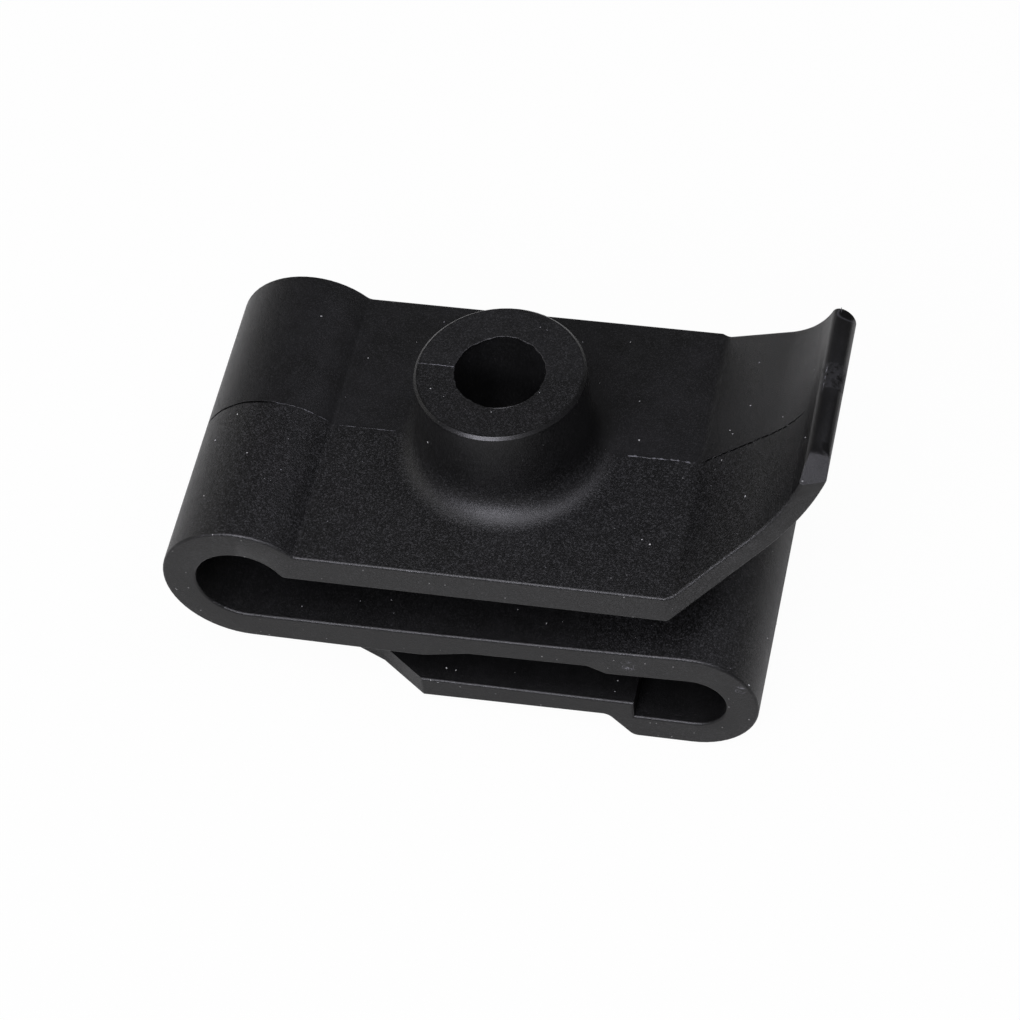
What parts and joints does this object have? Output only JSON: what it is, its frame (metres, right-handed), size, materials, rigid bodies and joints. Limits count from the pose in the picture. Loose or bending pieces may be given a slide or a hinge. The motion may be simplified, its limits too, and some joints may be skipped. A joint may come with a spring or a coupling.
{
  "type": "moulded s-shaped u-clip nut",
  "caption": "One-piece moulded plastic clip nut: S-folded strip with two panel slots, a curled lead-in lip and a round screw boss.",
  "frame": {"origin": "on the screw bore's axis, at the underside of the upper leaf, where the panel in the upper slot bears", "axes": "+X towards the curled lip and the upper slot's mouth, +Y across the strip's width, +Z out of the boss"},
  "size_m": [0.0283, 0.0148, 0.0156],
  "materials": {
    "clip_plastic": "satin black moulded nylon with a fine grain"
  },
  "bodies": {
    "root": {"clip_body": "clip_plastic"}
  },
  "joints": []
}
